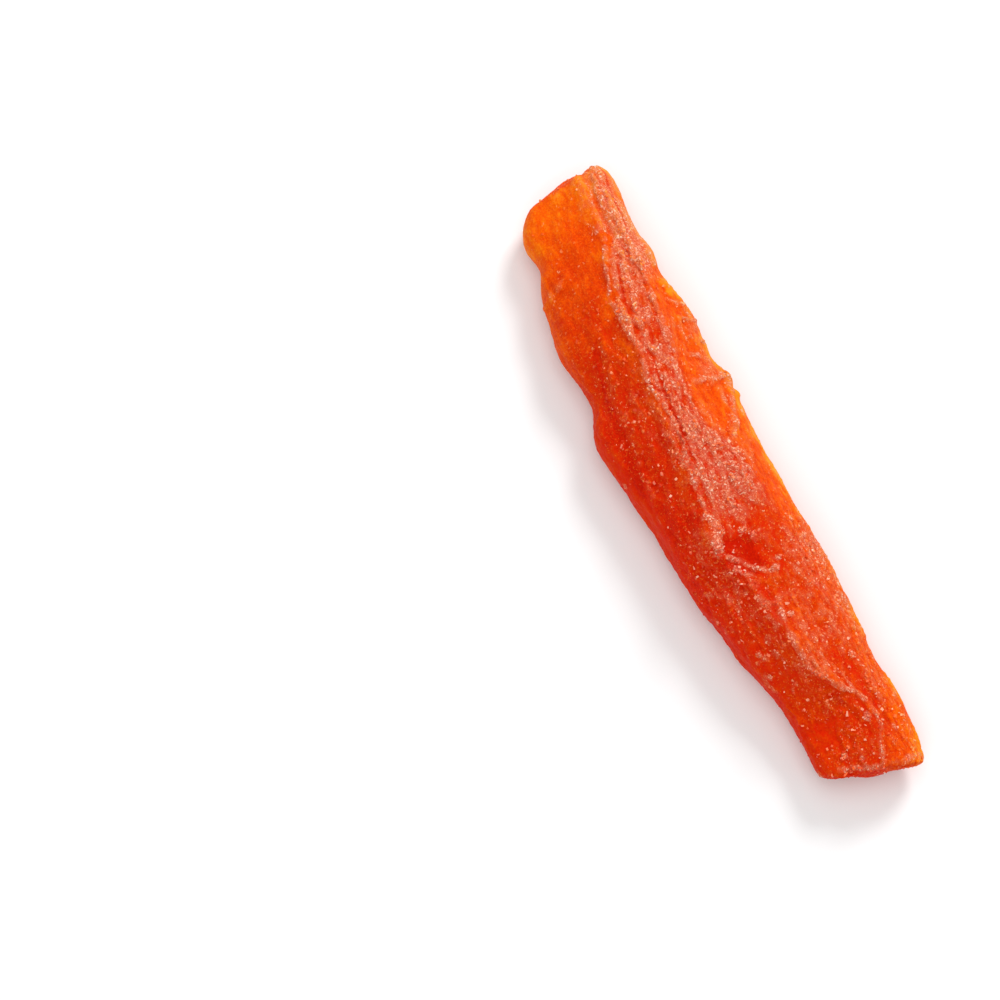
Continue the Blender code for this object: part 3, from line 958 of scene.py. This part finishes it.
def grain_layer(tree, place, size, level, fewest):
    """Domes of sugar, each there or not by chance. Also gives each one's own random number."""
    cells = add(tree, "ShaderNodeTexVoronoi", _Vector=place, _Scale=1 / (size * MM))
    chance = add(tree, "ShaderNodeSeparateColor", _Color=cells.outputs["Color"])
    cover = calculate(tree, "MULTIPLY_ADD", level, 2.0, fewest)  # the share of cells with a grain
    there = calculate(tree, "SUBTRACT", cover, chance.outputs[0])
    there = calculate(tree, "MULTIPLY", there, 5.0, clamp=True)  # so that few are half there
    dome = remap(tree, cells.outputs["Distance"], 0.15, 0.50, 1.0, 0.0)
    strength = calculate(tree, "MULTIPLY_ADD", chance.outputs[1], 0.6, 0.4)
    strength = calculate(tree, "MULTIPLY", there, strength)
    return calculate(tree, "MULTIPLY", dome, strength), chance.outputs[1]


# %% Group: sugar bloom
CLUMP = 1.2  # mm, patches where grains hold together
LARGE_GRAIN = 0.46  # mm
SMALL_GRAIN = 0.27
ODD_SIZE = 0.5  # mm, the patches of the noise that warps the grains
ODD_REACH = 0.9


def sugar_bloom_group():
    """Masks for dust, frost, grains, pale tips with painted glints, and gaps of painted shade, from how much
    sugar there is.
    """
    outputs = dict.fromkeys(("Dust", "Frost", "Grains", "Tips", "Gaps", "Relief"), "Float")
    inputs = {"Place": "Vector", "Bloom": "Float", "Seam": "Float"}
    tree, ends_in, ends_out = new_group("sugar_bloom", inputs, outputs)
    place = ends_in.outputs["Place"]
    zone = calculate(tree, "MAXIMUM", ends_in.outputs["Bloom"], ends_in.outputs["Seam"])
    clumps = calculate(tree, "MULTIPLY_ADD", cloudy(tree, place, CLUMP, 4.0, 0.65, stretch=1.6), 2.0, -1.0)
    # the more sugar there is, the more the clumps raise and lower its level
    swing = calculate(tree, "MULTIPLY", clumps, calculate(tree, "MULTIPLY_ADD", zone, 1.4, 0.18))
    level = calculate(tree, "ADD", swing, zone, clamp=True)

    odd = warped(tree, place, ODD_SIZE, ODD_REACH)
    # bare skin has the fewest grains
    few_large = remap(tree, zone, 0.0, 0.015, 0.05, 0.18)
    few_small = remap(tree, zone, 0.0, 0.015, 0.10, 0.38)
    large, own = grain_layer(tree, odd, LARGE_GRAIN, level, few_large)
    small, _ = grain_layer(tree, odd, SMALL_GRAIN, level, few_small)
    grains = calculate(tree, "MAXIMUM", large, calculate(tree, "MULTIPLY", small, 0.8))
    strength = calculate(tree, "MULTIPLY_ADD", level, 0.8, 0.68, clamp=True)
    palest = calculate(tree, "MULTIPLY", large, calculate(tree, "POWER", own, 3.5))
    between = calculate(tree, "SUBTRACT", 1.0, grains)
    open_sugar = calculate(tree, "MULTIPLY", level, calculate(tree, "MULTIPLY_ADD", level, -1.3, 1.7))
    masks = {
        "Dust": calculate(tree, "MULTIPLY", level, 0.45),
        "Frost": calculate(tree, "MULTIPLY_ADD", level, 2.3, -0.22, clamp=True),
        "Grains": calculate(tree, "MULTIPLY", grains, strength),
        # the palest grains: pale sugar with painted glints on them
        "Tips": calculate(tree, "MULTIPLY", palest, calculate(tree, "MULTIPLY_ADD", level, 2.0, 0.22)),
        # where painted shade falls between the grains
        "Gaps": calculate(tree, "MULTIPLY", between, open_sugar),
        "Relief": grains,
    }
    for name, mask in masks.items():
        tree.links.new(mask, ends_out.inputs[name])
    return tree


sugar_bloom = sugar_bloom_group()

# %% Group: candied colour
# (glow, colour): the fruit's colour with its painted light, from the deep red of thick
# fruit in shade to the orange of a thin edge with light through it
FRUIT_COLOURS = [
    (0.00, (0.55, 0.008, 0.001, 1)),
    (0.25, (0.68, 0.016, 0.001, 1)),
    (0.42, (0.66, 0.029, 0.001, 1)),
    (0.55, (0.72, 0.048, 0.001, 1)),
    (0.65, (0.80, 0.067, 0.001, 1)),
    (0.75, (0.85, 0.100, 0.001, 1)),
    (0.85, (0.91, 0.155, 0.002, 1)),
    (1.00, (0.96, 0.290, 0.008, 1)),
]

SPECK = 0.30  # mm, the grain of the fruit itself
STREAK = 0.9


def candied_colour_group():
    """The fruit's colour from its glow and the painted light in it, with streaks along the fibres and fine
    specks.
    """
    tree, ends_in, ends_out = new_group(
        "candied_colour", {"Place": "Vector", "Glow": "Float"}, {"Color": "Color"}
    )
    streaks = cloudy(tree, ends_in.outputs["Place"], STREAK, 5.0, 0.65, stretch=2.5)
    shift = remap(tree, streaks, 0.3, 0.7, -0.07, 0.07)
    specks = remap(tree, cloudy(tree, ends_in.outputs["Place"], SPECK, 2.0, 0.6), 0.35, 0.65, -0.12, 0.14)
    # specks show less on pale fruit
    strength = calculate(tree, "MULTIPLY_ADD", ends_in.outputs["Glow"], -0.75, 1.0)
    shift = calculate(tree, "MULTIPLY_ADD", specks, strength, shift)
    glow_in = calculate(tree, "ADD", ends_in.outputs["Glow"], shift, clamp=True)
    ramp = add(tree, "ShaderNodeValToRGB", _Fac=glow_in)
    stops = ramp.color_ramp.elements
    while len(stops) < len(FRUIT_COLOURS):
        stops.new(0.5)
    for stop, (position, colour) in zip(stops, FRUIT_COLOURS):
        stop.position = position
        stop.color = colour
    tree.links.new(ramp.outputs[0], ends_out.inputs["Color"])
    return tree


candied_colour = candied_colour_group()

# %% [markdown]
# ## Candied flesh
#
# The colour comes from the glow, with its painted light and shade. Sugar lies over it in
# steps: thin dust only makes it more orange, thicker frost lays a pale veil over it, and
# the grains are paler still, the palest with painted glints on them. Between grains the
# bare fruit shows, darkened with painted shade. The flesh is waxy where it is clear and a
# little duller where it is frosted. Its shine is weak and tinted, as it comes partly from
# below the surface. A plain white shine would turn the orange pink.

# %% Material: candied fruit
DUST_COLOUR = (0.78, 0.120, 0.010, 1)
GRAIN_COLOUR = (0.97, 0.230, 0.026, 1)
FROST_COLOUR = (0.97, 0.42, 0.265, 1)
# pale sugar, and painted glints on the palest grains
TIP_AND_GLINT_COLOUR = (1.0, 0.66, 0.50, 1)
# painted shade between the grains
GAP_SHADE_COLOUR = (0.38, 0.012, 0.002, 1)
SHINE_TINT = (1.0, 0.30, 0.05, 1)
PORE = 0.35  # mm
PORE_DEPTH = 0.14


def attribute(tree, name):
    """The number that the mesh's points carry under this name."""
    return add(tree, "ShaderNodeAttribute", attribute_name=name).outputs["Fac"]


def candied_fruit_material():
    """Translucent fruit below, and sugar over it in steps."""
    material = bpy.data.materials.new("candied_fruit")
    material.use_nodes = True
    tree = material.node_tree
    shader = tree.nodes["Principled BSDF"]
    waxy = {
        "IOR": 1.46,
        "Specular IOR Level": 0.11,
        "Specular Tint": SHINE_TINT,
        "Subsurface Weight": 0.2,
        "Subsurface Radius": (1.0, 0.28, 0.10),
        "Subsurface Scale": 1.5 * MM,
    }
    set_inputs(shader, waxy)
    place = add(tree, "ShaderNodeTexCoord").outputs["Object"]

    glow = attribute(tree, "glow")
    fruit = add(tree, "ShaderNodeGroup", node_tree=candied_colour, _Place=place, _Glow=glow)
    sugar = add(tree, "ShaderNodeGroup", node_tree=sugar_bloom, _Place=place)
    feed(tree, sugar.inputs["Bloom"], attribute(tree, "bloom"))
    feed(tree, sugar.inputs["Seam"], attribute(tree, "seam"))

    colour = blend_colours(tree, sugar.outputs["Dust"], fruit.outputs[0], DUST_COLOUR)
    veil = calculate(tree, "MULTIPLY", sugar.outputs["Frost"], 0.32)
    colour = blend_colours(tree, veil, colour, FROST_COLOUR)
    # painted shade: the bare fruit between the grains, darkened
    shaded_gap = blend_colours(tree, 0.60, fruit.outputs[0], GAP_SHADE_COLOUR)
    colour = blend_colours(tree, sugar.outputs["Gaps"], colour, shaded_gap)
    grain = blend_colours(tree, sugar.outputs["Frost"], GRAIN_COLOUR, FROST_COLOUR)
    colour = blend_colours(tree, sugar.outputs["Grains"], colour, grain)
    # the palest grains: pale sugar with painted glints
    colour = blend_colours(tree, sugar.outputs["Tips"], colour, TIP_AND_GLINT_COLOUR)
    tree.links.new(colour, shader.inputs["Base Color"])
    dull = calculate(tree, "MULTIPLY_ADD", sugar.outputs["Frost"], 0.1, 0.60)
    tree.links.new(dull, shader.inputs["Roughness"])

    pores = cloudy(tree, place, PORE, 4.0, 0.65)
    relief = calculate(tree, "MULTIPLY_ADD", sugar.outputs["Relief"], 0.7, pores)
    bump = add(tree, "ShaderNodeBump", _Strength=0.9, _Distance=PORE_DEPTH * MM, _Height=relief)
    tree.links.new(bump.outputs[0], shader.inputs["Normal"])
    return material


flesh.data.materials.append(candied_fruit_material())

# %% [markdown]
# ## Sugar crystals
#
# Sugar grains are little blocks with a broken corner. Three of them are modelled from
# cubes, a corner cut off each, and thousands of copies are strewn over the skin by Geometry
# Nodes. The grit, seam and lump numbers say how densely they lie. Particles could strew
# them too, but they can't be made one mesh as simply.

# %% Model three crystals
CRYSTAL_FORMS = {
    "crystal_block": ((1.0, 0.8, 0.7), 0.35),
    "crystal_flat": ((1.2, 0.9, 0.45), 0.3),
    "crystal_long": ((0.6, 1.4, 0.55), 0.25),
}
shapes = bpy.data.collections.new("crystal_shapes")
bpy.context.scene.collection.children.link(shapes)
for name, (sides, cut) in CRYSTAL_FORMS.items():
    crystal = add_object(bpy.ops.mesh.primitive_cube_add, name, size=1.0)
    crystal.scale = sides
    bpy.ops.object.transform_apply(location=False, rotation=False, scale=True)
    corner = max(crystal.data.vertices, key=lambda v: v.co.x + v.co.y + v.co.z).index
    bpy.ops.object.mode_set(mode="EDIT")
    bpy.ops.mesh.select_all(action="DESELECT")
    bpy.ops.object.mode_set(mode="OBJECT")
    crystal.data.vertices[corner].select = True
    bpy.ops.object.mode_set(mode="EDIT")
    bpy.ops.mesh.select_mode(type="VERT")
    bpy.ops.mesh.bevel(offset=cut, affect="VERTICES")
    bpy.ops.object.mode_set(mode="OBJECT")
    for collection in crystal.users_collection:
        collection.objects.unlink(crystal)
    shapes.objects.link(crystal)
    print(name, len(crystal.data.polygons), "faces")


# %% Fields for the strewing
def random_number(tree, low, high, seed):
    """A random number for each point."""
    node = add(tree, "FunctionNodeRandomValue", data_type="FLOAT", _Seed=seed)
    node.inputs[2].default_value = low
    node.inputs[3].default_value = high
    return node.outputs[1]


def random_turn(tree, seed):
    """A random rotation for each point."""
    node = add(tree, "FunctionNodeRandomValue", data_type="FLOAT_VECTOR", _Seed=seed)
    node.inputs[0].default_value = (0, 0, 0)
    node.inputs[1].default_value = (math.tau, math.tau, math.tau)
    return node.outputs[0]


def named(tree, name):
    """A number that the skin's points carry, as a field."""
    return add(tree, "GeometryNodeInputNamedAttribute", data_type="FLOAT", _Name=name).outputs[0]


# %% A Geometry Nodes tree that strews crystals
SUNK_SHARE = 0.15  # of a crystal's size, so that about a third of it stands out
SMALL_ONES = 3.0  # a power: the higher it is, the rarer large crystals are


def strewing(name, densities, sizes, paleness, seed):
    """Nodes that strew crystals. Densities are per square millimetre, sizes in millimetres."""
    tree = bpy.data.node_groups.new(name, "GeometryNodeTree")
    tree.interface.new_socket("Geometry", in_out="INPUT", socket_type="NodeSocketGeometry")
    tree.interface.new_socket("Geometry", in_out="OUTPUT", socket_type="NodeSocketGeometry")
    ends_out = tree.nodes.new("NodeGroupOutput")
    skin = add(tree, "GeometryNodeObjectInfo", _Object=flesh).outputs["Geometry"]
    density = 0.0
    for field, amount in densities.items():
        density = calculate(tree, "MULTIPLY_ADD", named(tree, field), amount / MM**2, density)
    scatter = add(tree, "GeometryNodeDistributePointsOnFaces", distribute_method="RANDOM", _Mesh=skin)
    feed(tree, scatter.inputs["Density"], density)
    feed(tree, scatter.inputs["Seed"], seed)

    small, large = sizes
    spread = calculate(tree, "POWER", random_number(tree, 0, 1, seed + 1), SMALL_ONES)
    size = calculate(tree, "MULTIPLY_ADD", spread, (large - small) * MM, small * MM)
    inwards = calculate(tree, "MULTIPLY", size, -SUNK_SHARE)
    sunk = add(tree, "ShaderNodeVectorMath", operation="SCALE", _Scale=inwards)
    feed(tree, sunk.inputs[0], scatter.outputs["Normal"])
    moved = add(tree, "GeometryNodeSetPosition", _Geometry=scatter.outputs[0], _Offset=sunk.outputs[0])
    picked = add(tree, "GeometryNodeCollectionInfo", transform_space="ORIGINAL")
    set_inputs(picked, {"Collection": shapes, "Separate Children": True, "Reset Children": True})
    placed = add(
        tree,
        "GeometryNodeInstanceOnPoints",
        _Points=moved.outputs[0],
        _Instance=picked.outputs[0],
        _Pick_Instance=True,
        _Rotation=random_turn(tree, seed + 2),
        _Scale=size,
    )
    tinted = add(
        tree,
        "GeometryNodeStoreNamedAttribute",
        data_type="FLOAT",
        domain="INSTANCE",
        _Geometry=placed.outputs[0],
        _Name="paleness",
        _Value=random_number(tree, *paleness, seed + 3),
    )
    one_mesh = add(tree, "GeometryNodeRealizeInstances", _Geometry=tinted.outputs[0])
    feed(tree, ends_out.inputs[0], one_mesh.outputs[0])
    return tree


def strew(name, **amounts):
    """A new piece made of strewn crystals."""
    grains = add_object(bpy.ops.mesh.primitive_plane_add, name, size=MM)
    apply_modifier(grains, "NODES", node_group=strewing(name, **amounts))
    triangles = sum(len(face.vertices) - 2 for face in grains.data.polygons)
    print(name, len(grains.data.polygons), "faces,", triangles, "triangles")
    print("its points carry:", [a.name for a in grains.data.attributes if not a.is_internal])
    return grains


# %% Strew the crystals
grains = strew(
    "sugar_grains",
    densities={"grit": 3.0, "seam": 1.6},
    sizes=(0.12, 0.55),
    paleness=(0, 1),
    seed=11,
)
crust = strew(
    "sugar_crust",
    densities={"lump": 9.0},
    sizes=(0.14, 0.50),
    paleness=(0.45, 1),
    seed=41,
)


# %% Material: sugar
CRYSTAL_TINT = (1.0, 0.65, 0.45, 1)


def sugar_material():
    """Clear crystals take the colour of the fruit below, and broken ones are paler."""
    material = bpy.data.materials.new("sugar")
    material.use_nodes = True
    tree = material.node_tree
    shader = tree.nodes["Principled BSDF"]
    glassy = {"Roughness": 0.15, "Specular IOR Level": 0.25, "Specular Tint": CRYSTAL_TINT, "IOR": 1.54}
    set_inputs(shader, glassy)
    place = add(tree, "ShaderNodeTexCoord").outputs["Object"]
    paleness = attribute(tree, "paleness")
    # the colour of the fruit below, painted light included, lighter for clear crystals
    lit = calculate(tree, "MULTIPLY_ADD", attribute(tree, "glow"), 0.6, 0.22)
    lit = calculate(tree, "MULTIPLY_ADD", paleness, 0.35, lit)
    fruit = add(tree, "ShaderNodeGroup", node_tree=candied_colour, _Place=place, _Glow=lit)
    pale = calculate(tree, "MULTIPLY_ADD", calculate(tree, "POWER", paleness, 5.0), 0.62, 0.03)
    tree.links.new(blend_colours(tree, pale, fruit.outputs[0], TIP_AND_GLINT_COLOUR), shader.inputs["Base Color"])
    return material


sugar = sugar_material()
for piece in (grains, crust):
    piece.data.materials.clear()
    piece.data.materials.append(sugar)

# %% [markdown]
# ## Hand over
#
# Every piece rides on the part's one body, and the skin stands for the solid, which is then
# hidden.

# %% Keep the grains inside the box, tidy up and finish
for crystal in list(shapes.objects):
    bpy.data.objects.remove(crystal)
bpy.data.collections.remove(shapes)

for piece in (grains, crust):
    placed = np.clip(positions(piece), low, high)
    piece.data.vertices.foreach_set("co", (placed * MM).ravel())
    piece.data.update()

for piece in (flesh, grains, crust):
    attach(piece, "root")
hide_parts("papaya_spear")
